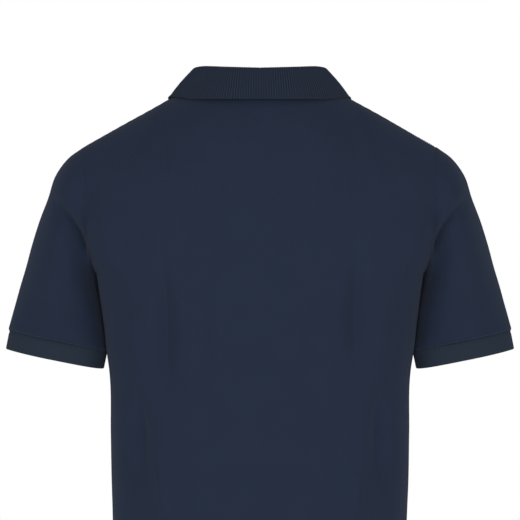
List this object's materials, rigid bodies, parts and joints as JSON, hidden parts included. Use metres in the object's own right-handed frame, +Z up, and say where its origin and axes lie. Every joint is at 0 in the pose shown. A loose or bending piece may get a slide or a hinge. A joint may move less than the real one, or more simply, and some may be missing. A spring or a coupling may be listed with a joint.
{
  "type": "polo shirt",
  "caption": "Short-sleeved pique polo shirt in worn, filled-out form: rib-knit fold-down collar and cuffs, buttoned placket, open neck, sleeves and hem.",
  "frame": {"origin": "middle of the neck, at the height of the points where neckline and shoulder seam meet", "axes": "+Z up; -Y is the front with the placket, +Y the back; +X the wearer's left"},
  "size_m": [0.6416, 0.2491, 0.7252],
  "materials": {
    "pique": "matt navy cotton pique",
    "rib_knit": "matt navy rib knit, one by one",
    "button": "low-gloss navy resin"
  },
  "bodies": {
    "root": {"back": "pique", "front": "pique", "sleeve_left": "pique", "sleeve_right": "pique", "cuff_left": "rib_knit", "cuff_right": "rib_knit", "collar": "rib_knit", "placket_under": "pique", "placket_upper": "pique", "button_1": "button", "button_2": "button", "button_3": "button"}
  },
  "joints": []
}
